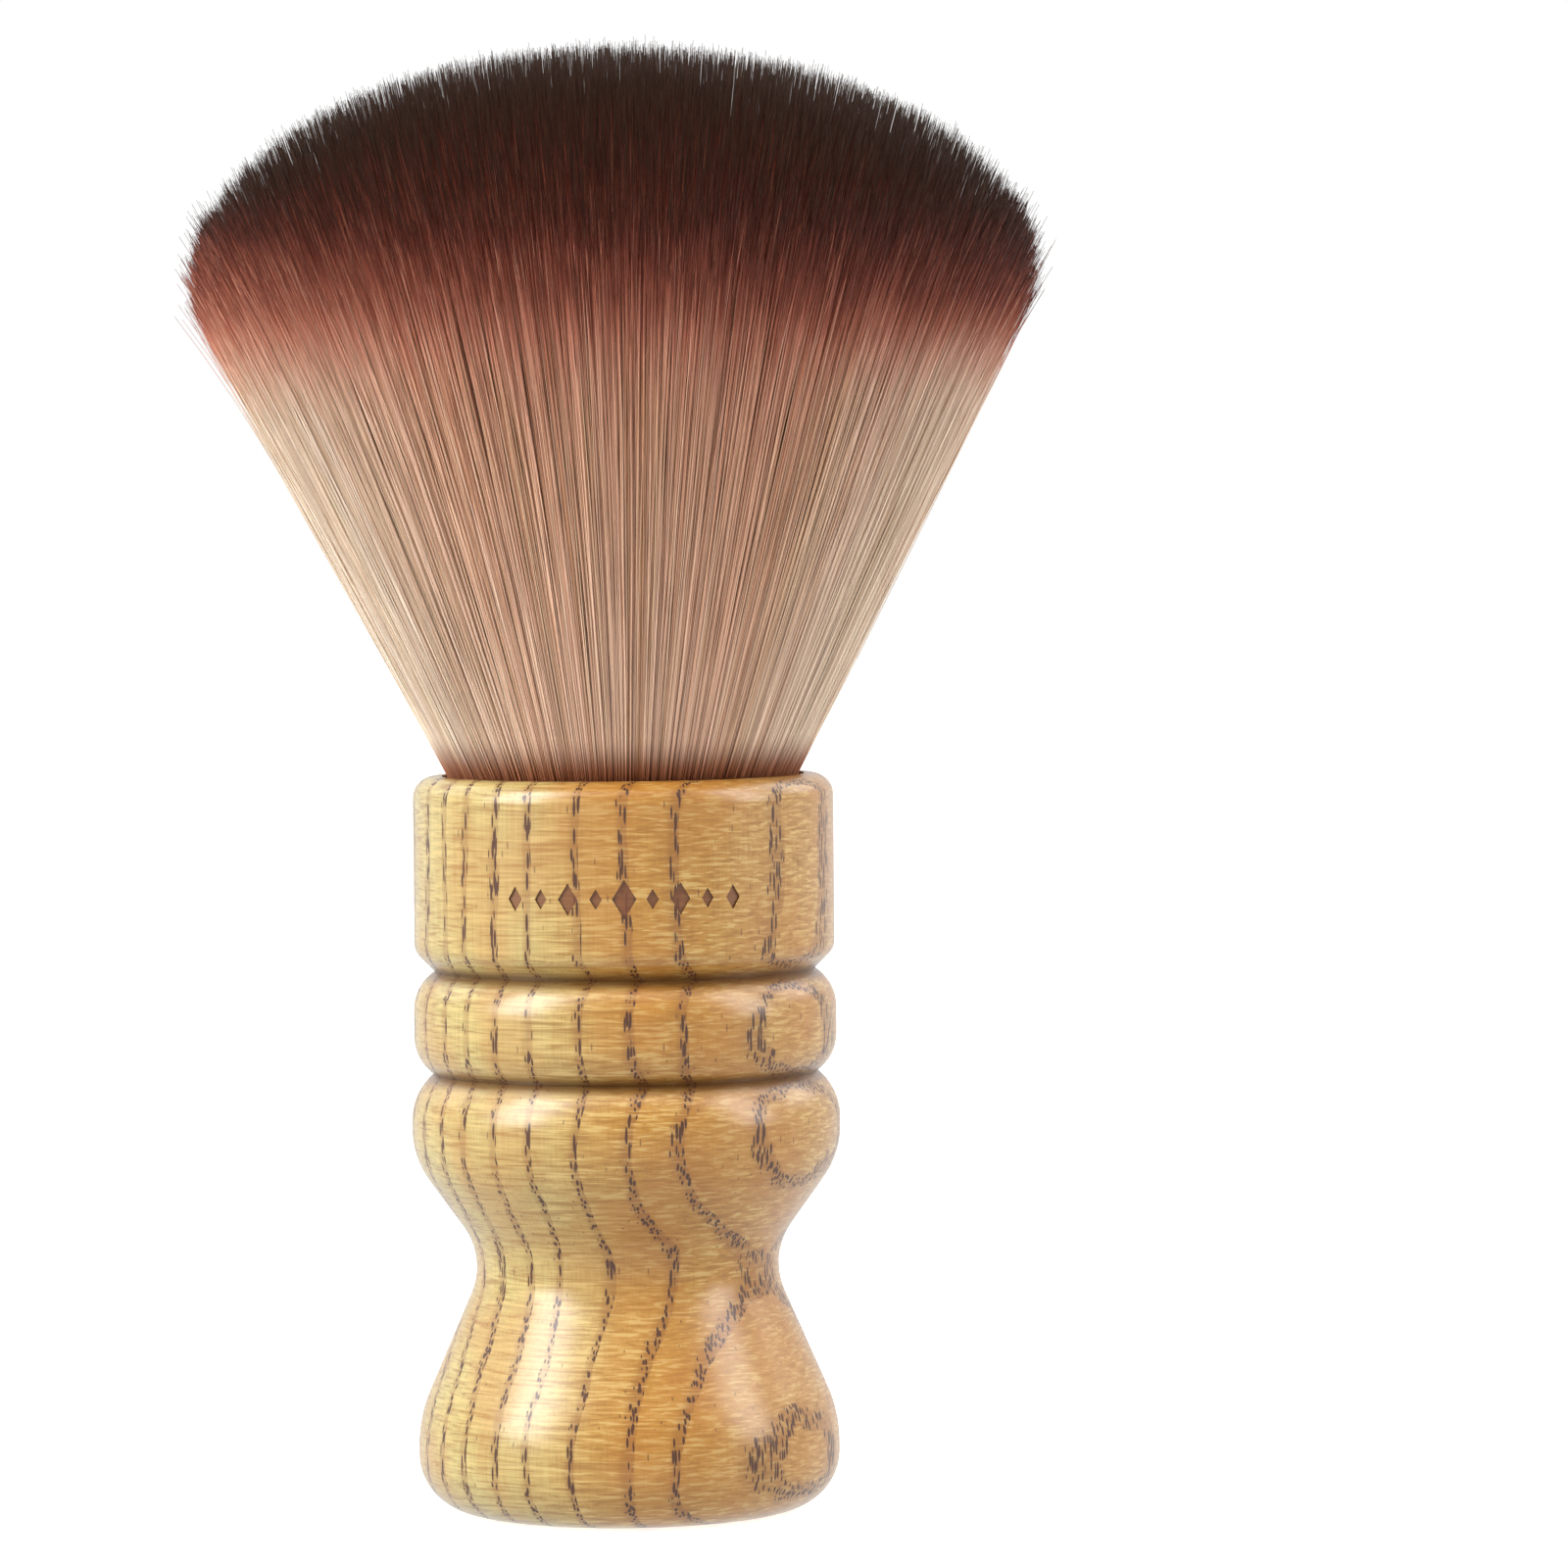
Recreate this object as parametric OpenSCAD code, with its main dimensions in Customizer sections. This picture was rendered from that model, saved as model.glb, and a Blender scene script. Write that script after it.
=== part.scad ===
// Neck duster brush: a turned ash handle with a flared, dome-topped bundle of
// soft bristles set in a blind socket in its collar.
// Millimetres. +Z up. The origin is the centre of the flat base.

/* [Overall] */
// Height of the wooden handle, base to rim
handle_h = 84; // [81:0.5:90]
// Height of the whole brush, base to the tips of the bristles
total_h = 167; // [162:0.5:174]

/* [Foot and waist] */
// Diameter of the flat face the brush stands on
base_d = 35.2; // [33:0.2:36.4]
// Largest diameter of the foot
foot_d = 48.2; // [46.6:0.2:49.4]
// Smallest diameter, at the finger grip
waist_d = 34.6; // [33:0.2:36]
// Height of the waist
waist_z = 27.9; // [27:0.1:29]

/* [Rings and collar] */
// Diameter of the shoulder ring above the waist
shoulder_d = 49; // [48:0.2:50]
// Diameter of the middle ring
bead_d = 48.3; // [47.5:0.1:49]
// Diameter of the collar that holds the bristles
collar_d = 48; // [47:0.2:49]
// Height of the upper turned groove, under the collar
groove_z = 61.7; // [61.4:0.1:62]
// Radius of the rounded edge at the rim
rim_round = 2.5; // [1.4:0.1:2.6]

/* [Engraving] */
// Height of the row of engraved lozenges on the collar
row_z = 71; // [70:0.5:74]
// Lozenges on each side of the middle one
row_side = 4; // [2:1:5]
// Angle between neighbouring lozenges, in degrees
row_step = 7.6; // [7:0.2:9]
// Height of the middle lozenge
lozenge_h = 4.4; // [3.4:0.2:5]
// Depth of the engraving
engrave_t = 0.25; // [0.15:0.05:0.4]

/* [Socket] */
// Bore of the blind socket
socket_d = 41.4; // [41.2:0.1:41.8]
// Depth of the socket below the rim
socket_depth = 18; // [17:0.5:20]
// Thickness of the adhesive between the bristle plug and the wood
adhesive_t = 0.4; // [0.3:0.1:0.6]
// Height of the cast resin plug that ties the roots together
plug_h = 6.4; // [5:0.2:6.8]
// Thickness of the cord wound round the roots
cord_d = 1.1; // [0.8:0.1:1.3]
// Turns of cord
cord_turns = 5; // [3:1:5]

/* [Bristles] */
// Diameter of the bundle where it leaves the socket
mouth_d = 41; // [40:0.2:41]
// Widest diameter of the bundle
head_d = 98.2; // [92:0.2:104]
// Height of the widest part above the rim
widest_h = 58; // [56:0.5:60]
// Radius of the rounded edge between the flared side and the dome
head_round = 15; // [13:0.5:16]
// Distance from the rim's centre at which the bristles start to flex
stem_start = 27.2; // [26.8:0.1:28]
// Distance from the rim's centre at which the upper flex joint lies
stem_end = 34; // [33:0.5:38]
// Distance from the rim's centre at which the dark tips start
tips_start = 72; // [68:0.5:73]
// Clearance between the parts of the bundle that flex
flex_gap = 0.3; // [0.2:0.05:0.5]

/* [Hidden] */
$fn = 96;

ash = [0.82, 0.68, 0.42];
epoxy = [0.86, 0.80, 0.60];
resin = [0.62, 0.45, 0.25];
thread = [0.90, 0.88, 0.80];
bristle_cream = [0.88, 0.80, 0.70];
bristle_sand = [0.82, 0.70, 0.57];
bristle_salmon = [0.70, 0.50, 0.38];
bristle_dark = [0.24, 0.15, 0.10];

// Circles that shape the turned rings and hollows.
foot_low_z = 6.5;
foot_high_r = 16;
foot_high_z = 7.3;
waist_r = 8;
shoulder_low_r = 10.2;
shoulder_low_z = 43.8;
shoulder_high_r = 7;
shoulder_high_z = 44.6;
bead_r = 5.2;
bead_z = 55.8;
bead_flat = 3;        // height of the middle ring's straight band
collar_edge_r = 2;
skin_t = 3;           // radial reach of the engraving cutters
overlap = 0.5;        // length by which a taper runs on into a hollow
sink = 0.001;         // depth by which a taper's end is buried in a ring

socket_floor = handle_h - socket_depth;
plug_r = socket_d / 2 - adhesive_t;
root_r = plug_r - cord_d;
plug_top = socket_floor + adhesive_t + plug_h;
cord_pitch = 0.9 * cord_d;
cord_low = plug_top + 0.4;
cord_top = cord_low + cord_turns * cord_pitch;
adhesive_top = handle_h - 3.5;
mouth_r = mouth_d / 2;

// The point at a given reach and angle from a centre.
function at(centre, reach, angle) =
    [centre[0] + reach * cos(angle), centre[1] + reach * sin(angle)];

// Angle of the line that a ring and a hollow both touch, as its outward normal.
function touching(ring, ring_r, hollow, hollow_r) =
    let (gap = hollow - ring,
         turn = acos((ring_r + hollow_r) / norm(gap)))
    atan2(gap[1], gap[0]) - sign(gap[1]) * turn;

// A disc of the outline, filled in to the axis.
module ring_disc(centre, radius) {
    translate(centre) circle(r = radius);
    translate([0, centre[1] - radius]) square([centre[0], 2 * radius]);
}

// A straight taper from a ring to a hollow, touching both.
module taper(ring, ring_r, hollow, hollow_r) {
    lean = touching(ring, ring_r, hollow, hollow_r);
    run = sign(hollow[1] - ring[1]) * overlap;
    start = at(ring, ring_r - sink, lean);
    end = at(hollow, hollow_r - sink, lean + 180) + run * [-sin(lean), cos(lean)];
    low = run > 0 ? start : end;
    high = run > 0 ? end : start;
    polygon([[0, low[1]], low, high, [0, high[1]]]);
}

foot_low = [base_d / 2 + (foot_d - 48.2) / 2, foot_low_z];
foot_high = [foot_d / 2 - foot_high_r, foot_high_z];
waist = [waist_d / 2 + waist_r, waist_z];
shoulder_low = [shoulder_d / 2 - shoulder_low_r, shoulder_low_z];
shoulder_high = [shoulder_d / 2 - shoulder_high_r, shoulder_high_z];

// Foot: flat base, a small lower round and a large upper round.
module foot_outline() {
    square([foot_low[0], foot_low_z]);
    intersection() {
        ring_disc(foot_low, foot_d / 2 - foot_low[0]);
        square([foot_d, foot_d]);
    }
    intersection() {
        ring_disc(foot_high, foot_high_r);
        translate([0, foot_low_z]) square([foot_d, foot_d]);
    }
}

// Waist: a round hollow with a taper to the foot and one to the shoulder.
module waist_outline() {
    lean_low = touching(foot_high, foot_high_r, waist, waist_r);
    lean_high = touching(shoulder_low, shoulder_low_r, waist, waist_r);
    z_low = at(waist, waist_r, lean_low + 180)[1];
    z_high = at(waist, waist_r, lean_high + 180)[1];
    taper(foot_high, foot_high_r, waist, waist_r);
    taper(shoulder_low, shoulder_low_r, waist, waist_r);
    difference() {
        translate([0, z_low]) square([waist[0], z_high - z_low]);
        translate(waist) circle(r = waist_r);
    }
}

// Shoulder: a ring with a larger round below its middle than above.
module shoulder_outline() {
    intersection() {
        ring_disc(shoulder_low, shoulder_low_r);
        square([shoulder_d, (shoulder_low_z + shoulder_high_z) / 2 + 0.1]);
    }
    ring_disc(shoulder_high, shoulder_high_r);
}

// Middle ring: a straight band with a round above and below it.
module bead_outline() {
    centre_r = bead_d / 2 - bead_r;
    low_z = bead_z - bead_flat / 2;
    ring_disc([centre_r, low_z], bead_r);
    ring_disc([centre_r, low_z + bead_flat], bead_r);
    translate([0, low_z]) square([bead_d / 2, bead_flat]);
}

// Collar: a chamfer out of the groove, a straight wall and a rounded rim.
module collar_outline() {
    rise = groove_z - bead_z - bead_flat / 2;
    groove_r = bead_d / 2 - bead_r + sqrt(bead_r * bead_r - rise * rise) - 0.05;
    edge_r = collar_d / 2 - collar_edge_r;
    edge_z = round(100 * (groove_z + edge_r - groove_r + collar_edge_r * sqrt(2))) / 100;
    chamfer = at([edge_r, edge_z], collar_edge_r - sink, -45);
    rim_z = handle_h - rim_round;
    polygon([[0, groove_z], [groove_r, groove_z], chamfer, [0, chamfer[1]]]);
    intersection() {
        ring_disc([edge_r, edge_z], collar_edge_r);
        translate([0, chamfer[1] - overlap]) square([collar_d, handle_h]);
    }
    translate([0, edge_z]) square([collar_d / 2, rim_z - edge_z]);
    ring_disc([collar_d / 2 - rim_round, rim_z], rim_round);
}

// Cutters for a row of lozenges that shrink away from the middle one.
module lozenge_row() {
    for (i = [-row_side : row_side]) {
        size = i % 2 == 0 ? 1 - 0.09 * abs(i) : 0.52;
        h = lozenge_h * size / 2;
        w = h * 0.62;
        rotate([0, 0, -90 + i * row_step])
            translate([collar_d / 2 - engrave_t, 0, row_z])
                rotate([90, 0, 90])
                    linear_extrude(height = skin_t)
                        polygon([[w, 0], [0, h], [-w, 0], [0, -h]]);
    }
}

// The turned handle, one piece of ash, with its blind socket.
module handle() {
    color(ash)
        difference() {
            rotate_extrude()
                difference() {
                    union() {
                        foot_outline();
                        waist_outline();
                        shoulder_outline();
                        bead_outline();
                        collar_outline();
                    }
                    translate([0, socket_floor]) square([socket_d / 2, socket_depth + 1]);
                }
            lozenge_row();
        }
}

// Adhesive: a thin cup between the plug and the socket.
module socket_adhesive() {
    color(epoxy)
        rotate_extrude()
            difference() {
                translate([0, socket_floor])
                    square([socket_d / 2, adhesive_top - socket_floor]);
                translate([0, socket_floor + adhesive_t]) square([plug_r, socket_depth]);
            }
}

// Cast resin plug that holds the root ends of the bristles together.
module knot_plug() {
    color(resin)
        translate([0, 0, socket_floor + adhesive_t]) cylinder(r = plug_r, h = plug_h);
}

// Cord wound round the roots, pressed flat against them.
module knot_binding() {
    color(thread)
        rotate_extrude()
            difference() {
                for (i = [0 : cord_turns - 1])
                    translate([root_r + 0.4 * cord_d, cord_low + (i + 0.5) * cord_pitch])
                        circle(d = cord_d);
                translate([0, plug_top]) square([root_r, socket_depth]);
            }
}

// Outline of the free bundle: a straight flare, a rounded edge and a dome.
module bundle_outline() {
    edge = [head_d / 2 - head_round, handle_h + widest_h];
    mouth = [mouth_r, handle_h];
    reach = norm(edge - mouth);
    lean = atan2(edge[1] - mouth[1], edge[0] - mouth[0]) - asin(head_round / reach);
    flare_top = at(mouth, sqrt(reach * reach - head_round * head_round), lean);
    rise = total_h - edge[1];
    dome_r = (edge[0] * edge[0] + rise * rise - head_round * head_round)
             / (2 * (rise - head_round));
    dome = [0, total_h - dome_r];
    dome_edge = at(dome, dome_r, atan2(edge[1] - dome[1], edge[0]));
    polygon([[0, handle_h], mouth, flare_top, edge, dome_edge, [0, dome_edge[1]]]);
    translate(edge) circle(r = head_round);
    intersection() {
        translate(dome) circle(r = dome_r);
        translate([0, dome_edge[1]]) square([head_d, rise + head_round]);
    }
}

// A half disc round the point on which the bundle flexes.
module flex_reach(radius) {
    intersection() {
        translate([0, handle_h]) circle(r = radius);
        translate([0, handle_h - radius]) square([radius, 2 * radius]);
    }
}

// Root part of the bundle: bound in the socket and stiff just above the rim.
module bristle_roots() {
    color(bristle_cream)
        rotate_extrude() {
            polygon([[0, plug_top], [root_r, plug_top], [root_r, cord_top + 0.2],
                     [mouth_r, handle_h - 2.4], [mouth_r, handle_h], [0, handle_h]]);
            intersection() {
                bundle_outline();
                flex_reach(stem_start);
            }
        }
}

// Lower flexing part of the bundle, which leans to the sides.
module bristle_stem() {
    color(bristle_sand)
        rotate_extrude()
            difference() {
                intersection() {
                    bundle_outline();
                    flex_reach(stem_end);
                }
                flex_reach(stem_start + flex_gap);
            }
}

// Upper flexing part of the bundle, which leans to the front and back.
module bristle_head() {
    color(bristle_salmon)
        rotate_extrude()
            difference() {
                intersection() {
                    bundle_outline();
                    flex_reach(tips_start);
                }
                flex_reach(stem_end + flex_gap);
            }
}

// Dark tips of the bristles.
module bristle_tips() {
    color(bristle_dark)
        rotate_extrude()
            difference() {
                bundle_outline();
                flex_reach(tips_start);
            }
}

handle();
socket_adhesive();
knot_plug();
knot_binding();
bristle_roots();
bristle_stem();
bristle_head();
bristle_tips();
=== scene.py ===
"""Looks of the neck duster brush: ash wood, glue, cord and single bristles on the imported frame."""

import math

import bpy
import numpy as np
from mathutils import Euler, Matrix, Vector


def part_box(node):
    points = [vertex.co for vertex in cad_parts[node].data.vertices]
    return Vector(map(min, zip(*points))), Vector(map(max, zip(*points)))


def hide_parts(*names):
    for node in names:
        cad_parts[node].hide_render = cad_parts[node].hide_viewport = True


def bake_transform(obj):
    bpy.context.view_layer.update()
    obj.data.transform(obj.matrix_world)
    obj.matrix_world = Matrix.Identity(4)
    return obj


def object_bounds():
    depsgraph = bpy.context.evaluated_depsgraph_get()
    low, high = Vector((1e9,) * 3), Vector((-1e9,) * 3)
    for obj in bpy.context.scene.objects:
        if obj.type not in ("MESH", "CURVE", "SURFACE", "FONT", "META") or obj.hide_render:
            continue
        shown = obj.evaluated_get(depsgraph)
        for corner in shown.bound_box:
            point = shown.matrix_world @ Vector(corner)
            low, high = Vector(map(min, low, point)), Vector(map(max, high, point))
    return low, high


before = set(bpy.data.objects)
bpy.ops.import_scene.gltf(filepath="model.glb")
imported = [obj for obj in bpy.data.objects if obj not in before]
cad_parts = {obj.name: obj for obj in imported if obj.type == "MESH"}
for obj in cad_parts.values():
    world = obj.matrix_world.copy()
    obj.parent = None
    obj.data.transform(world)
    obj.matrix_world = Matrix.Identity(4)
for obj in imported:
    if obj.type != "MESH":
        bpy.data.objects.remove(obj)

MM = 0.001                      # a millimetre, in metres
TO_MM = 1000
SEED = 20

cad_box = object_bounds()


# ---------------------------------------------------------------- sizes from the frame

BASE_TO_RIM = float(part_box("handle")[1][2])
BASE_TO_TIPS = float(cad_box[1][2])
INSET = 0.7 * MM                # how far the strands' dome lies inside the CAD solid
HEAD_R = float(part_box("bristle_tips")[1][0]) - INSET
PLUG_TOP = float(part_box("knot_plug")[1][2])
BINDING_TOP = float(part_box("knot_binding")[1][2])

MOUTH_R = 20.0 * MM             # bundle of bristles at the rim
BOUND_R = 19.1 * MM             # bundle inside the cord
FLARE = 0.512                   # outward slope of the outermost bristles
WIDEST = BASE_TO_RIM + 58 * MM  # height at which the bundle is widest
EDGE_R = 15 * MM                # round between the flared side and the dome
CUT = BASE_TO_RIM + 21 * MM     # height at which lower and upper strands meet


# ---------------------------------------------------------------- node helpers

class Shader:
    """A material's node tree, with one short method for each kind of node."""

    def __init__(self, name):
        self.material = bpy.data.materials.new(name)
        self.material.use_nodes = True
        self.tree = self.material.node_tree
        self.surface = self.tree.nodes["Principled BSDF"]

    def add(self, kind, **settings):
        node = self.tree.nodes.new(kind)
        for key, value in settings.items():
            setattr(node, key, value)
        return node

    def plug(self, value, socket):
        if isinstance(value, bpy.types.NodeSocket):
            self.tree.links.new(value, socket)
        else:
            socket.default_value = value

    def math(self, operation, *values):
        node = self.add("ShaderNodeMath", operation=operation)
        for value, socket in zip(values, node.inputs):
            self.plug(value, socket)
        return node.outputs[0]

    def vector(self, operation, a, b):
        node = self.add("ShaderNodeVectorMath", operation=operation)
        self.plug(a, node.inputs[0])
        self.plug(b, node.inputs[1])
        return node.outputs["Value"] if operation == "DOT_PRODUCT" else node.outputs[0]

    def noise(self, where, scale=1.0, detail=2.0, roughness=0.5, warp=0.0):
        node = self.add("ShaderNodeTexNoise")
        self.plug(where, node.inputs["Vector"])
        node.inputs["Scale"].default_value = scale
        node.inputs["Detail"].default_value = detail
        node.inputs["Roughness"].default_value = roughness
        node.inputs["Distortion"].default_value = warp
        return node.outputs["Fac"]

    def cells(self, where, scale=1.0, feature="F1"):
        """Distance to the nearest of scattered points, or to the edge between two of them."""
        node = self.add("ShaderNodeTexVoronoi", feature=feature)
        self.plug(where, node.inputs["Vector"])
        node.inputs["Scale"].default_value = scale
        return node.outputs["Distance"]

    def parts(self, where):
        """The three coordinates of a vector."""
        node = self.add("ShaderNodeSeparateXYZ")
        self.plug(where, node.inputs[0])
        return node.outputs

    def band(self, value, low, high, to_low=0.0, to_high=1.0):
        """Goes smoothly from to_low at low to to_high at high."""
        node = self.add("ShaderNodeMapRange", interpolation_type="SMOOTHSTEP")
        for socket, number in zip(node.inputs, (value, low, high, to_low, to_high)):
            self.plug(number, socket)
        return node.outputs[0]

    def mix(self, factor, a, b):
        node = self.add("ShaderNodeMix", data_type="RGBA")
        self.plug(factor, node.inputs[0])
        self.plug(a, node.inputs[6])
        self.plug(b, node.inputs[7])
        return node.outputs[2]

    def ramp(self, factor, stops, interpolation="LINEAR"):
        node = self.add("ShaderNodeValToRGB")
        node.color_ramp.interpolation = interpolation
        marks = node.color_ramp.elements
        while len(marks) < len(stops):
            marks.new(0.5)
        for mark, (position, colour) in zip(marks, stops):
            mark.position = position
            mark.color = colour
        self.plug(factor, node.inputs[0])
        return node.outputs[0]

    def attribute(self, name, output="Fac"):
        return self.add("ShaderNodeAttribute", attribute_name=name).outputs[output]

    def millimetres(self):
        """Position in the row frame, in millimetres."""
        where = self.add("ShaderNodeTexCoord").outputs["Object"]
        return self.vector("MULTIPLY", where, (TO_MM, TO_MM, TO_MM))

    def bump(self, height, distance, strength=1.0):
        node = self.add("ShaderNodeBump")
        node.inputs["Strength"].default_value = strength
        node.inputs["Distance"].default_value = distance
        self.plug(height, node.inputs["Height"])
        self.plug(node.outputs[0], self.surface.inputs["Normal"])

    def set(self, **values):
        for name, value in values.items():
            self.plug(value, self.surface.inputs[name.replace("_", " ")])


def tone(red, green, blue):
    """A linear colour from the 0 to 255 values it has on screen."""
    def linear(value):
        value /= 255
        return value / 12.92 if value <= 0.04045 else ((value + 0.055) / 1.055) ** 2.4
    return (linear(red), linear(green), linear(blue), 1.0)


# ---------------------------------------------------------------- wood

RING_FACE = 57                  # direction that the growth rings face, from the front, in degrees
# Where each growth ring starts: its distance from the axis, in millimetres.
RINGS = (-23.0, -17.4, -12.9, -8.2, -2.5, 1.8, 6.2, 10.2, 14.5, 18.6, 22.0)
RING_SPAN = 30                  # the rings lie within this distance of the axis, in millimetres
RING_BEND = 4.5                 # how far slow noise pushes the rings, in millimetres
PORE_SIZE = 0.44                # size of a pore against the spacing of the pores
COLLAR_R = 24.0                 # the engraved surface, in millimetres
ENGRAVED_Z = 71                 # height of the row of lozenges, in millimetres
TWISTS = 150                    # ridges of twisted yarn in one turn of the cord


def groove_heights():
    """Heights, in millimetres, of the two turned grooves: where the handle's outline is narrowest."""
    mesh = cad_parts["handle"].data
    points = np.empty(3 * len(mesh.vertices), np.float32)
    mesh.vertices.foreach_get("co", points)
    points = points.reshape(-1, 3) * TO_MM
    radius = np.hypot(points[:, 0], points[:, 1])
    heights = []
    for low, high in ((47, 53), (59, 64)):
        near = (points[:, 2] > low) & (points[:, 2] < high) & (radius > 21)
        heights.append(float(points[near][radius[near].argmin(), 2]))
    return heights


def ash_wood():
    s = Shader("ash_wood")
    where = s.millimetres()
    facing = math.radians(RING_FACE)
    outward = (-math.sin(facing), math.cos(facing), 0.012)
    sideways = (math.cos(facing), math.sin(facing), 0)

    # Growth rings: nearly flat sheets, bent a little by slow noise along the grain.
    wander = s.noise(s.vector("MULTIPLY", where, (0.07, 0.07, 0.03)), detail=3, roughness=0.55)
    depth = s.vector("DOT_PRODUCT", where, outward)
    depth = s.math("ADD", depth, s.math("MULTIPLY", s.math("SUBTRACT", wander, 0.5), RING_BEND))
    place = s.math("ADD", s.math("DIVIDE", depth, 2 * RING_SPAN), 0.5)
    starts = [(ring / (2 * RING_SPAN) + 0.5) for ring in RINGS]
    stops = [(0.0, (0, 0, 0, 1))] + [(at, (at, at, at, 1)) for at in starts]
    ring = s.ramp(place, stops, interpolation="CONSTANT")
    since = s.math("MULTIPLY", s.math("SUBTRACT", place, ring), 2 * RING_SPAN)

    # Early wood: two or three rows of open pores at the start of each ring, which are long tubes.
    crooked = s.noise(s.vector("MULTIPLY", where, (0.9, 0.9, 0.5)), detail=2)
    edge = s.math("ADD", since, s.math("MULTIPLY", s.math("SUBTRACT", crooked, 0.5), 0.7))
    early = s.math("MULTIPLY", s.band(edge, 0.0, 0.2), s.band(edge, 0.75, 1.5, 1, 0))
    tubes = s.cells(s.vector("MULTIPLY", where, (2.6, 2.6, 0.40)))
    size = s.math("MULTIPLY", early, PORE_SIZE)
    pores = s.band(s.math("SUBTRACT", tubes, size), -0.06, 0.03, 1, 0)
    pores = s.math("MULTIPLY", pores, s.band(early, 0.15, 0.4))
    few = s.cells(s.vector("MULTIPLY", where, (0.9, 0.9, 0.2)))
    stray = s.band(few, 0.07, 0.11, 0.6, 0)

    # Late wood: pale, with fine fibres and the rays' thin ripples across the grain.
    fibres = s.noise(s.vector("MULTIPLY", where, (3.5, 3.5, 0.14)), detail=3, roughness=0.6)
    along_ray = s.math("MULTIPLY", s.vector("DOT_PRODUCT", where, outward), 0.16)
    across_ray = s.math("MULTIPLY", s.vector("DOT_PRODUCT", where, sideways), 0.5)
    height = s.parts(where)[2]
    rays = s.add("ShaderNodeCombineXYZ")
    s.plug(along_ray, rays.inputs[0])
    s.plug(across_ray, rays.inputs[1])
    s.plug(s.math("MULTIPLY", height, 3.1), rays.inputs[2])
    ripple = s.noise(rays.outputs[0], detail=2, roughness=0.55, warp=0.5)
    blotch = s.noise(s.vector("MULTIPLY", where, (0.10, 0.10, 0.05)), detail=2)
    late = s.ramp(s.math("DIVIDE", since, 6), (
        (0.0, tone(164, 112, 44)),
        (0.25, tone(180, 130, 54)),
        (0.6, tone(184, 134, 56)),
        (1.0, tone(172, 120, 46)),
    ))
    # Paler and yellower towards the left and back: partly the wood's own tone, partly a painted highlight
    # from the light at the left.
    late = s.mix(s.band(depth, -14, 2, 0, 0.8), late, tone(188, 178, 116))
    # Paler at the far right: painted light, standing in for light from the right.
    late = s.mix(s.band(depth, -23.5, -19, 0.5, 0), late, tone(190, 150, 88))
    late = s.mix(s.band(fibres, 0.35, 0.75, 0, 0.35), late, tone(152, 100, 36))
    late = s.mix(s.band(ripple, 0.50, 0.66, 0, 0.5), late, tone(220, 192, 124))
    late = s.mix(s.band(ripple, 0.34, 0.48, 0.55, 0), late, tone(142, 94, 34))
    late = s.mix(s.band(blotch, 0.40, 0.65, 0, 0.35), late, tone(176, 112, 40))
    colour = s.mix(s.math("MULTIPLY", early, 0.35), late, tone(134, 82, 34))
    colour = s.mix(s.math("MAXIMUM", pores, stray), colour, tone(78, 42, 18))

    # Darker brown in the turned grooves, partly stain and partly painted shade; and the burnt engraving.
    groove_stain_and_shade = 0.0
    for z in groove_heights():
        away = s.math("ABSOLUTE", s.math("SUBTRACT", height, z))
        groove_stain_and_shade = s.math("MAXIMUM", groove_stain_and_shade, s.band(away, 0.15, 1.5, 0.8, 0))
    colour = s.mix(groove_stain_and_shade, colour, tone(88, 52, 18))
    flat = s.vector("MULTIPLY", where, (1, 1, 0))
    radius = s.math("SQRT", s.vector("DOT_PRODUCT", flat, flat))
    off_row = s.math("ABSOLUTE", s.math("SUBTRACT", height, ENGRAVED_Z))
    in_row = s.band(off_row, 2.6, 3.0, 1, 0)
    sunk = s.math("MULTIPLY", s.band(radius, COLLAR_R - 0.16, COLLAR_R - 0.02, 1, 0), in_row)
    walls = s.math("MULTIPLY", s.band(radius, COLLAR_R - 0.24, COLLAR_R - 0.21), sunk)
    colour = s.mix(s.math("MULTIPLY", sunk, 0.85), colour, tone(112, 58, 26))
    colour = s.mix(s.math("MULTIPLY", walls, 0.9), colour, tone(62, 30, 12))

    s.set(Base_Color=colour)
    s.set(Roughness=s.math("ADD", 0.42, s.math("MULTIPLY", pores, 0.25)))
    s.surface.inputs["Specular IOR Level"].default_value = 0.25
    s.surface.inputs["Coat Weight"].default_value = 1.0
    s.surface.inputs["Coat Roughness"].default_value = 0.26
    relief = s.math("SUBTRACT", s.math("MULTIPLY", ripple, 0.3), pores)
    s.bump(relief, 0.12 * MM, 0.7)
    return s.material


# ---------------------------------------------------------------- hidden pieces

def adhesive():
    s = Shader("adhesive")
    where = s.millimetres()
    cloud = s.noise(where, scale=0.35, detail=3)
    bubble = s.cells(where, 0.9, "DISTANCE_TO_EDGE")
    s.set(Base_Color=s.mix(cloud, tone(214, 190, 128), tone(238, 222, 176)), Roughness=0.22)
    s.bump(s.math("ADD", cloud, s.math("MULTIPLY", bubble, 0.4)), 0.15 * MM)
    return s.material


def resin():
    s = Shader("resin")
    where = s.millimetres()
    cloud = s.noise(where, scale=0.22, detail=4, warp=0.8)
    roots = s.noise(s.vector("MULTIPLY", where, (4.5, 4.5, 0.3)), detail=1)
    colour = s.mix(cloud, tone(150, 96, 44), tone(188, 134, 72))
    colour = s.mix(s.band(roots, 0.5, 0.62, 0, 0.7), colour, tone(222, 196, 160))
    s.set(Base_Color=colour, Roughness=s.band(cloud, 0.3, 0.7, 0.18, 0.3))
    s.bump(roots, 0.08 * MM, 0.5)
    return s.material


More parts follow.
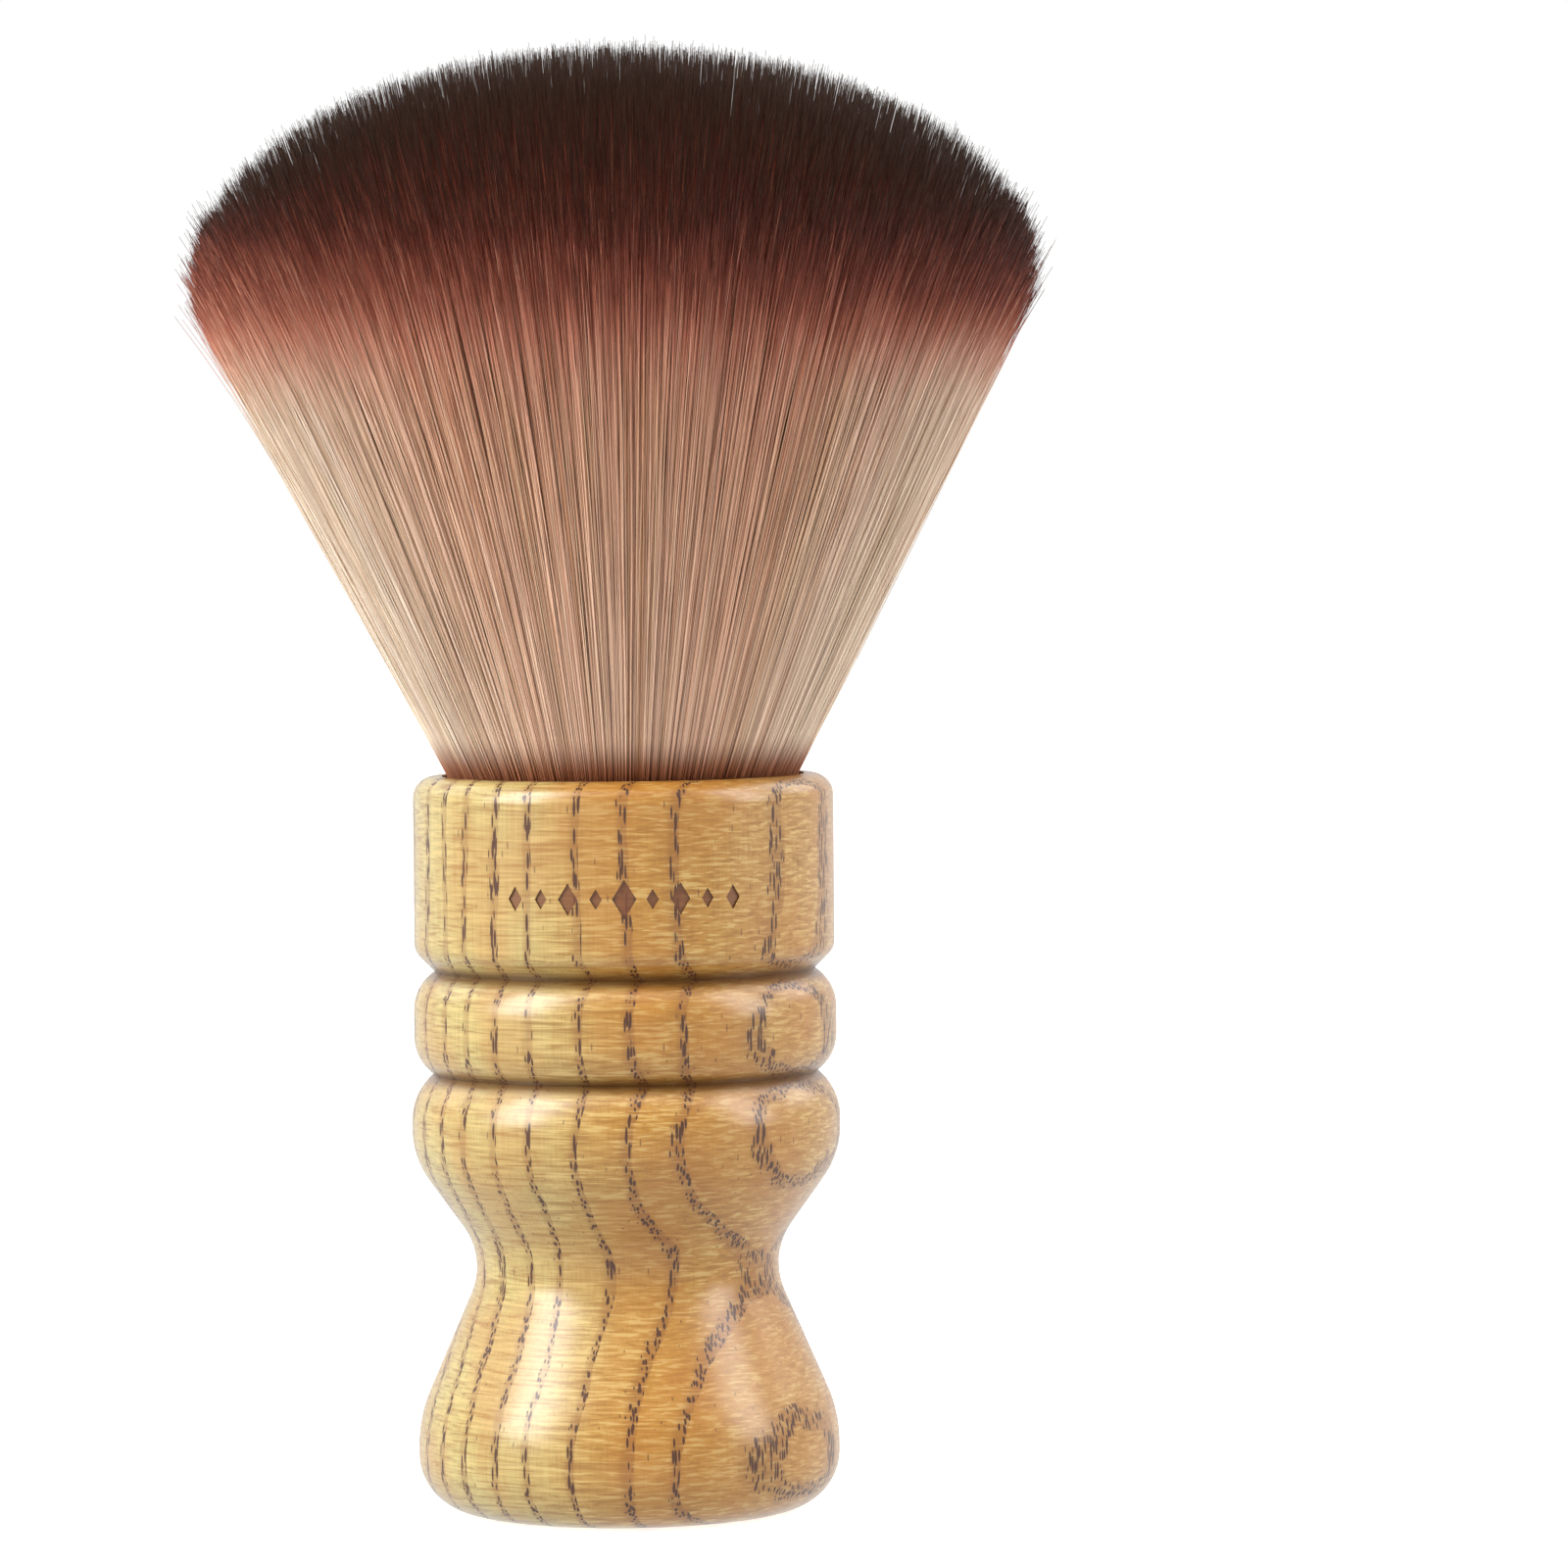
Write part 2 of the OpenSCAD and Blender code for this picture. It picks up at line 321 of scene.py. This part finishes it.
def thread():
    s = Shader("thread")
    where = s.millimetres()
    x, y, z = s.parts(where)
    around = s.math("MULTIPLY", s.math("ARCTAN2", y, x), TWISTS)
    twist = s.math("SINE", s.math("ADD", around, s.math("MULTIPLY", z, 5)))
    fuzz = s.noise(where, scale=6, detail=3)
    # The twist's ridges are lighter and its hollows darker: painted shade in the hollows of the cord.
    colour = s.mix(s.band(twist, -0.9, 0.5), tone(176, 164, 136), tone(232, 226, 208))
    s.set(Base_Color=s.mix(s.band(fuzz, 0.3, 0.7, 0, 0.3), colour, tone(150, 136, 108)), Roughness=0.85)
    s.surface.inputs["Sheen Weight"].default_value = 0.3
    s.bump(s.math("ADD", s.math("MULTIPLY", twist, 0.5), fuzz), 0.15 * MM)
    return s.material


# ---------------------------------------------------------------- bristles

DYE_LENGTH = 60                 # length over which the dye fades out, in millimetres
DYE_SLANT = 0.011               # share by which it reaches further for each millimetre to the right


def bristle():
    """Filaments dyed by distance from the tip: near-black, maroon, salmon, then cream."""
    s = Shader("bristle")
    from_tip = s.math("MULTIPLY", s.attribute("from_tip"), TO_MM)
    from_rim = s.math("MULTIPLY", s.attribute("from_rim"), TO_MM)
    root = s.attribute("strand_root", "Vector")
    lone = s.add("ShaderNodeTexWhiteNoise", noise_dimensions="3D")
    s.plug(root, lone.inputs["Vector"])
    lone = lone.outputs["Value"]

    # The dye reaches further down some clumps and one side, and varies from strand to strand.
    clump = s.noise(root, scale=0.42, detail=3, roughness=0.6)
    streak = s.noise(root, scale=1.4, detail=1)
    hue = s.noise(s.vector("ADD", root, (50, 0, 0)), scale=0.30, detail=2)
    reach = s.math("ADD", s.math("MULTIPLY", s.math("SUBTRACT", clump, 0.5), 1.2), 1.0)
    reach = s.math("ADD", reach, s.math("MULTIPLY", s.math("SUBTRACT", streak, 0.5), 0.7))
    reach = s.math("ADD", reach, s.math("MULTIPLY", s.math("SUBTRACT", lone, 0.5), 0.5))
    sideways = s.vector("DOT_PRODUCT", root, (1, 0, 0))
    reach = s.math("ADD", reach, s.math("MULTIPLY", sideways, DYE_SLANT))
    reach = s.math("MAXIMUM", reach, 0.4)
    reach = s.math("MULTIPLY", reach, s.band(lone, 0.93, 0.95, 1, 0.4))
    dyed = s.math("DIVIDE", s.math("DIVIDE", from_tip, reach), DYE_LENGTH)
    colour = s.ramp(dyed, (
        (0.0, tone(50, 26, 9)),
        (0.040, tone(57, 28, 12)),
        (0.066, tone(72, 34, 23)),
        (0.092, tone(106, 48, 36)),
        (0.125, tone(158, 80, 60)),
        (0.17, tone(204, 124, 98)),
        (0.25, tone(232, 172, 144)),
        (0.45, tone(242, 194, 162)),
        (0.65, tone(246, 202, 172)),
        (0.85, tone(248, 210, 182)),
        (1.0, tone(248, 212, 186)),
    ))
    # Both flanks are painted paler than the middle: painted light, for the light from the sides and behind
    # that whitens the brush's edges.
    flank = s.math("ABSOLUTE", sideways)
    painted_side_light = s.math("MULTIPLY", s.band(flank, 8, 19, 0, 0.8), s.band(from_tip, 9, 20))
    colour = s.mix(painted_side_light, colour, tone(252, 238, 218))
    # Clumps are more orange, olive or grey than their neighbours.
    amber = s.math("MULTIPLY", s.band(clump, 0.54, 0.66, 0, 0.5), s.band(from_tip, 8, 16))
    colour = s.mix(amber, colour, tone(196, 126, 72))
    olive = s.math("MULTIPLY", s.band(hue, 0.5, 0.62, 0, 0.35), s.band(from_tip, 10, 20))
    colour = s.mix(olive, colour, tone(206, 178, 124))
    colour = s.mix(s.band(streak, 0.60, 0.75, 0, 0.3), colour, tone(120, 78, 52))
    # Darker and more orange over the first few millimetres above the rim.
    colour = s.mix(s.band(from_rim, 0.5, 5.0, 0.9, 0), colour, tone(150, 76, 32))
    s.set(Base_Color=colour, Roughness=0.42)
    s.surface.inputs["Specular IOR Level"].default_value = 0.45
    return s.material


def dome_reach(z):
    """Outer radius of the trimmed tips at height z."""
    low = HEAD_R - EDGE_R + np.sqrt(np.maximum(EDGE_R ** 2 - (z - WIDEST) ** 2, 0))
    rise = (z - WIDEST) / (BASE_TO_TIPS - WIDEST)
    high = HEAD_R * np.sqrt(np.maximum(1 - rise ** 2, 0))
    return np.where(z < WIDEST, low, high)


def fan_reach(z):
    """Outer radius of the flaring bundle at height z."""
    freed = np.clip((z - BINDING_TOP) / (BASE_TO_RIM - BINDING_TOP), 0, 1)
    bound = BOUND_R + (MOUTH_R - BOUND_R) * freed
    return bound + FLARE * np.maximum(z - BASE_TO_RIM, 0)


def tip_height(share):
    """Height at which a strand, at this share of the bundle's radius, meets the dome."""
    low = np.full_like(share, WIDEST - EDGE_R / 2)
    high = np.full_like(share, BASE_TO_TIPS)
    for _ in range(30):
        middle = (low + high) / 2
        inside = share * fan_reach(middle) < dome_reach(middle)
        low = np.where(inside, middle, low)
        high = np.where(inside, high, middle)
    return low


INNER = 22000                   # strands inside the bundle
OUTER = 20000                   # strands in its outer layers, which are seen from the side
SHELL = 0.85                    # share of the radius at which the outer layers begin
GOLDEN = math.pi * (3 - math.sqrt(5))
LOOSE = 0.10                    # share of the outer strands that leave the cone a little
LOOSE_MOST = 0.012              # and the most that they do so, as a share of the radius
WILD = 0.05                     # share of the outer strands whose tips stand out
LEAN = 0.9 * MM                 # how far the tips lean to the left
TILT = 0.8 * MM                 # how much higher the dome is at its right edge than in its middle
EDGE_TRIM = 5.5 * MM            # dyed length that the trimming took from the outermost strands
CORE_PAINTED_SHADE = 1.8 * MM           # how much further down the dye sits in the middle of the bundle: painted shade that darkens the top of the dome


def grow():
    """Root, tip, tilt and other facts of every strand."""
    rng = np.random.default_rng(SEED)
    count = INNER + OUTER
    order = np.arange(count)
    inner = SHELL ** 2 * (order + 0.5) / INNER
    outer = SHELL ** 2 + (1 - SHELL ** 2) * (order - INNER + 0.5) / OUTER
    share = np.sqrt(np.where(order < INNER, inner, outer))
    share = np.clip(share + rng.normal(0, 0.006, count), 0.002, 1)
    loose = (rng.random(count) < LOOSE) & (order >= INNER)
    spread = np.where(loose, np.minimum(rng.exponential(LOOSE_MOST / 2, count), LOOSE_MOST), 0)
    turn = order * GOLDEN + rng.normal(0, 0.012, count)
    way = np.stack([np.cos(turn), np.sin(turn)], 1)

    top = tip_height(share)
    # How much of the dyed tip the trimming took away: most at the edge of the dome, least inside. In the
    # middle it turns negative, so the dye reaches further down there as painted shade for the top of the
    # dome.
    trim_and_core_shade = EDGE_TRIM * np.clip((share - 0.72) / 0.28, 0, 1) ** 1.4
    trim_and_core_shade -= CORE_PAINTED_SHADE * np.clip(1.2 * (1 - share), 0, 1)
    # The tips are uneven, and lie a little under the dome, most so at its edge.
    top += rng.normal(-1.4 * MM, 0.45 * MM, count) + 1.0 * MM * (1 - share) ** 0.5
    top += TILT * way[:, 0] * share

    # Strands cross their neighbours at small angles, and a few stand out of the bundle.
    shift = rng.normal(0, 0.5 * MM, (count, 2))
    wild = (rng.random(count) < WILD) & (order >= INNER)
    shift[:, 0] -= LEAN
    root = way * (share * MOUTH_R)[:, None] * TO_MM
    return {
        "share": share,
        "way": way,
        "top": top,
        "trim_and_core_shade": trim_and_core_shade,
        "shift": shift,
        "spread": spread,
        "flick": wild * rng.uniform(0.3, 2.4, count) * MM,
        "wave": rng.uniform(0, 2 * math.pi, (count, 2)),
        "wave_size": rng.uniform(0.02, 0.16, (count, 2)) * MM,
        "root": np.column_stack([root, rng.uniform(0, 40, count)]),
    }


def centre_line(strand, heights):
    """Points of each strand at these heights, one row of heights per strand."""
    free = np.clip((heights - BASE_TO_RIM) / (strand["top"][:, None] - BASE_TO_RIM), 0, 1)
    loose = 1 + strand["spread"][:, None] * np.clip(free * 5, 0, 1)
    out = strand["share"][:, None] * loose * fan_reach(heights) + strand["flick"][:, None] * free ** 5
    flat = strand["way"][:, None, :] * out[:, :, None]
    flat += strand["shift"][:, None, :] * (free ** 1.5)[:, :, None]
    sway = np.sin(strand["wave"][:, None, :] + free[:, :, None] * 9)
    flat += sway * strand["wave_size"][:, None, :] * free[:, :, None]
    return np.concatenate([flat, heights[:, :, None]], 2)


SIDES = 3
THICK = 0.058 * MM              # radius of a strand along most of its length
FINE = 0.022 * MM               # radius at its tip
TAPER = 18 * MM                 # length over which it thins
COLUMNS = 128                   # columns of the bake, shared by strands side by side


def strand_mesh(name, strand, heights, material):
    """Three-sided tapered tubes through the strands' centre lines, as one mesh."""
    line = centre_line(strand, heights)
    count, rows = heights.shape
    along = np.gradient(line, axis=1)
    along /= np.linalg.norm(along, axis=2, keepdims=True)
    side = np.stack([-strand["way"][:, 1], strand["way"][:, 0], np.zeros(count)], 1)[:, None, :]
    out = np.cross(along, side)
    from_tip = strand["top"][:, None] - heights
    radius = FINE + (THICK - FINE) * np.clip(from_tip / TAPER, 0, 1) ** 0.7
    turn = strand["wave"][:, :1] + np.arange(SIDES)[None, :] * 2 * math.pi / SIDES
    ring = np.cos(turn)[:, None, :, None] * side[:, :, None, :]
    ring = ring + np.sin(turn)[:, None, :, None] * out[:, :, None, :]
    points = line[:, :, None, :] + radius[:, :, None, None] * ring

    index = np.arange(count * rows * SIDES).reshape(count, rows, SIDES)
    here, there = index[:, :-1], index[:, 1:]
    quads = np.stack([here, np.roll(here, -1, 2), np.roll(there, -1, 2), there], 3).reshape(-1, 4)
    mesh = bpy.data.meshes.new(name)
    mesh.vertices.add(points.size // 3)
    mesh.vertices.foreach_set("co", points.reshape(-1).astype(np.float32))
    mesh.loops.add(quads.size)
    mesh.loops.foreach_set("vertex_index", quads.reshape(-1).astype(np.int32))
    mesh.polygons.add(len(quads))
    mesh.polygons.foreach_set("loop_start", np.arange(0, quads.size, 4, dtype=np.int32))
    mesh.update(calc_edges=True)
    mesh.shade_smooth()
    mesh.materials.append(material)

    spread = np.ones((1, 1, SIDES))
    facts = {
        "from_tip": from_tip + strand["trim_and_core_shade"][:, None],
        "from_rim": heights - BASE_TO_RIM,
    }
    for key, value in facts.items():
        layer = mesh.attributes.new(key, "FLOAT", "POINT")
        layer.data.foreach_set("value", (value[:, :, None] * spread).reshape(-1).astype(np.float32))
    roots = np.broadcast_to(strand["root"][:, None, None, :], points.shape)
    layer = mesh.attributes.new("strand_root", "FLOAT_VECTOR", "POINT")
    layer.data.foreach_set("vector", np.ascontiguousarray(roots, np.float32).reshape(-1))

    # Bake layout: a column for each group of strands, with the tips at the top.
    azimuth = np.arctan2(strand["way"][:, 1], strand["way"][:, 0])
    span = azimuth - azimuth.min()
    column = np.floor(span / (span.max() + 1e-6) * COLUMNS)
    bottom, top = heights.min(), heights.max()
    up = (heights - bottom) / (top - bottom) * 0.98 + 0.01
    uv = np.empty((count, rows - 1, SIDES, 4, 2))
    for corner, (right, above) in enumerate(((0, 0), (1, 0), (1, 1), (0, 1))):
        steps = (np.arange(SIDES) + right) / SIDES
        uv[..., corner, 0] = (column[:, None, None] + 0.1 + 0.8 * steps[None, None, :]) / COLUMNS
        uv[..., corner, 1] = (up[:, 1:] if above else up[:, :-1])[:, :, None]
    layer = mesh.uv_layers.new(name="OFBake")
    layer.data.foreach_set("uv", uv.reshape(-1).astype(np.float32))

    piece = bpy.data.objects.new(name, mesh)
    bpy.context.scene.collection.objects.link(piece)
    return piece


def chosen(strand, which):
    return {key: value[which] for key, value in strand.items()}


# Rows of points along a strand: heights above the rim, then shares of the way from the cut to the tip.
LOWER_ROWS = tuple(3 * MM * step for step in range(7))
HIDDEN_ROWS = (0,)
UPPER_SHARES = (0, 0.12, 0.26, 0.41, 0.56, 0.71, 0.86, 1)
INNER_SHARES = (0, 0.3, 0.55, 0.8, 1)


def lower_heights(strand, rows):
    marks = [PLUG_TOP] + [BASE_TO_RIM + row for row in rows] + [CUT]
    return np.tile(np.array(marks), (len(strand["share"]), 1))


def upper_heights(strand, shares):
    return CUT + (strand["top"][:, None] - CUT) * np.array(shares)[None, :]


def bristles():
    """Lower strands bend from the handle to the stem, upper ones from the stem to the head."""
    strand = grow()
    material = bristle()
    azimuth = np.mod(np.arctan2(strand["way"][:, 1], strand["way"][:, 0]), 2 * math.pi)
    outer = np.arange(len(azimuth)) >= INNER
    # Low down the outer strands hide the inner ones, so only every third of those is made there.
    kept = np.arange(len(azimuth)) % 3 == 0
    for shell, label, rows, lower_parts, shares, upper_parts in (
            (True, "outer", LOWER_ROWS, 5, UPPER_SHARES, 5),
            (False, "inner", HIDDEN_ROWS, 1, INNER_SHARES, 4)):
        for part in range(lower_parts):
            inside = (np.floor(azimuth / (2 * math.pi) * lower_parts) == part) & (outer == shell)
            mine = chosen(strand, inside if shell else inside & kept)
            name = f"bristle_strands_lower_{label}_{part + 1}"
            piece = strand_mesh(name, mine, lower_heights(mine, rows), material)
            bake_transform(piece)
            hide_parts("bristle_roots", "bristle_stem")
        for part in range(upper_parts):
            inside = (np.floor(azimuth / (2 * math.pi) * upper_parts) == part) & (outer == shell)
            mine = chosen(strand, inside)
            name = f"bristle_strands_upper_{label}_{part + 1}"
            piece = strand_mesh(name, mine, upper_heights(mine, shares), material)
            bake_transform(piece)
            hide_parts("bristle_head", "bristle_tips")


# ---------------------------------------------------------------- studio

def stage_piece(name, points, faces, material):
    mesh = bpy.data.meshes.new(name)
    mesh.from_pydata(points, [], faces)
    mesh.shade_smooth()
    mesh.materials.append(material)
    piece = bpy.data.objects.new(name, mesh)
    bpy.context.scene.collection.objects.link(piece)
    return piece


def surroundings():
    """A pale floor, and a white backdrop all round that is only seen and doesn't light the brush."""
    reach, tall, steps = 4.0, 4.0, 64
    turns = [2 * math.pi * i / steps for i in range(steps)]
    circle = [(reach * math.cos(turn), reach * math.sin(turn)) for turn in turns]
    s = Shader("studio_floor")
    s.set(Base_Color=(0.93, 0.93, 0.93, 1), Roughness=0.9)
    s.surface.inputs["Specular IOR Level"].default_value = 0.0
    s.surface.inputs["Emission Color"].default_value = (1, 1, 1, 1)
    s.surface.inputs["Emission Strength"].default_value = 0.75
    level = -0.1 * MM       # just under the foot, so that the two faces don't coincide
    points = [(x, y, level) for x, y in circle]
    floor = stage_piece("studio_floor", points, [list(range(steps))], s.material)
    floor.visible_diffuse = False
    floor.visible_glossy = False

    s = Shader("studio_backdrop")
    s.set(Base_Color=(0, 0, 0, 1), Roughness=1.0)
    s.surface.inputs["Specular IOR Level"].default_value = 0.0
    s.surface.inputs["Emission Color"].default_value = (1, 1, 1, 1)
    s.surface.inputs["Emission Strength"].default_value = 1.0
    points = [(x, y, z) for z in (-0.01, tall) for x, y in circle]
    faces = [(i, (i + 1) % steps, steps + (i + 1) % steps, steps + i) for i in range(steps)]
    faces.append(list(range(steps, 2 * steps)))
    backdrop = stage_piece("studio_backdrop", points, faces, s.material)
    backdrop.visible_diffuse = False
    backdrop.visible_glossy = False
    backdrop.visible_transmission = False
    backdrop.visible_shadow = False


WORLD_FRONT = 0.52              # brightness of the surroundings in front of the brush
WORLD_BEHIND = 0.8
WORLD_BELOW = 0.95


def softbox(name, azimuth, elevation, distance, width, height, power):
    """A rectangular light that faces the middle of the brush."""
    light = bpy.data.lights.new(name, "AREA")
    light.shape = "RECTANGLE"
    light.size = width
    light.size_y = height
    light.energy = power
    lamp = bpy.data.objects.new(name, light)
    a, e = math.radians(azimuth), math.radians(elevation)
    way = Vector((math.sin(a) * math.cos(e), -math.cos(a) * math.cos(e), math.sin(e)))
    lamp.location = Vector((0, 0, BASE_TO_TIPS / 2)) + way * distance
    lamp.rotation_euler = (-way).to_track_quat("-Z", "Y").to_euler()
    bpy.context.scene.collection.objects.link(lamp)


def camera():
    """In front, just below the middle of the bristles, aimed a little down and right of the brush."""
    lens = bpy.data.cameras.new("camera")
    lens.lens = 173.7
    lens.sensor_width = 36
    eye = bpy.data.objects.new("camera", lens)
    eye.location = (0, -0.863, 0.1178)
    pan, tilt, roll = math.radians(-1.22), math.radians(90 - 2.33), math.radians(-0.53)
    turn = Euler((0, 0, pan)).to_matrix() @ Euler((tilt, 0, 0)).to_matrix() @ Euler((0, 0, roll)).to_matrix()
    eye.rotation_euler = turn.to_euler()
    bpy.context.scene.collection.objects.link(eye)
    bpy.context.scene.camera = eye


def studio():
    """Brighter behind the brush than in front of it, with a strong light at the left."""
    world = bpy.data.worlds.new("studio")
    world.use_nodes = True
    tree = world.node_tree
    way = tree.nodes.new("ShaderNodeTexCoord")
    split = tree.nodes.new("ShaderNodeSeparateXYZ")
    spread = tree.nodes.new("ShaderNodeMapRange")
    spread.inputs["From Min"].default_value = -0.3
    spread.inputs["From Max"].default_value = 0.6
    spread.inputs["To Min"].default_value = WORLD_FRONT
    spread.inputs["To Max"].default_value = WORLD_BEHIND
    lower = tree.nodes.new("ShaderNodeMapRange")
    lower.inputs["From Min"].default_value = -0.15
    lower.inputs["From Max"].default_value = 0.1
    lower.inputs["To Min"].default_value = WORLD_BELOW
    tree.links.new(way.outputs["Generated"], split.inputs[0])
    tree.links.new(split.outputs[1], spread.inputs["Value"])
    tree.links.new(split.outputs[2], lower.inputs["Value"])
    tree.links.new(spread.outputs[0], lower.inputs["To Max"])
    tree.links.new(lower.outputs[0], tree.nodes["Background"].inputs["Strength"])
    tree.nodes["Background"].inputs["Color"].default_value = (1, 1, 1, 1)
    bpy.context.scene.world = world
    bpy.context.scene.view_settings.view_transform = "Standard"
    surroundings()
    softbox("key_left", -62, 32, 0.9, 0.45, 0.8, 10.3)
    softbox("rim_left", -120, 40, 0.9, 0.5, 0.8, 1.2)
    softbox("fill_right", 74, 28, 0.9, 0.35, 0.8, 4.5)
    softbox("rim_right", 120, 40, 0.9, 0.5, 0.8, 2.5)
    softbox("top", 0, 75, 1.0, 0.8, 0.8, 3)


# ---------------------------------------------------------------- build

def dress(node, material):
    """Gives a CAD node its material and smooth shading."""
    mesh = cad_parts[node].data
    mesh.materials.clear()
    mesh.materials.append(material)
    mesh.shade_smooth()
    mesh.set_sharp_from_angle(angle=math.radians(35))


camera()
studio()
dress("handle", ash_wood())
dress("socket_adhesive", adhesive())
dress("knot_plug", resin())
dress("knot_binding", thread())
bristles()
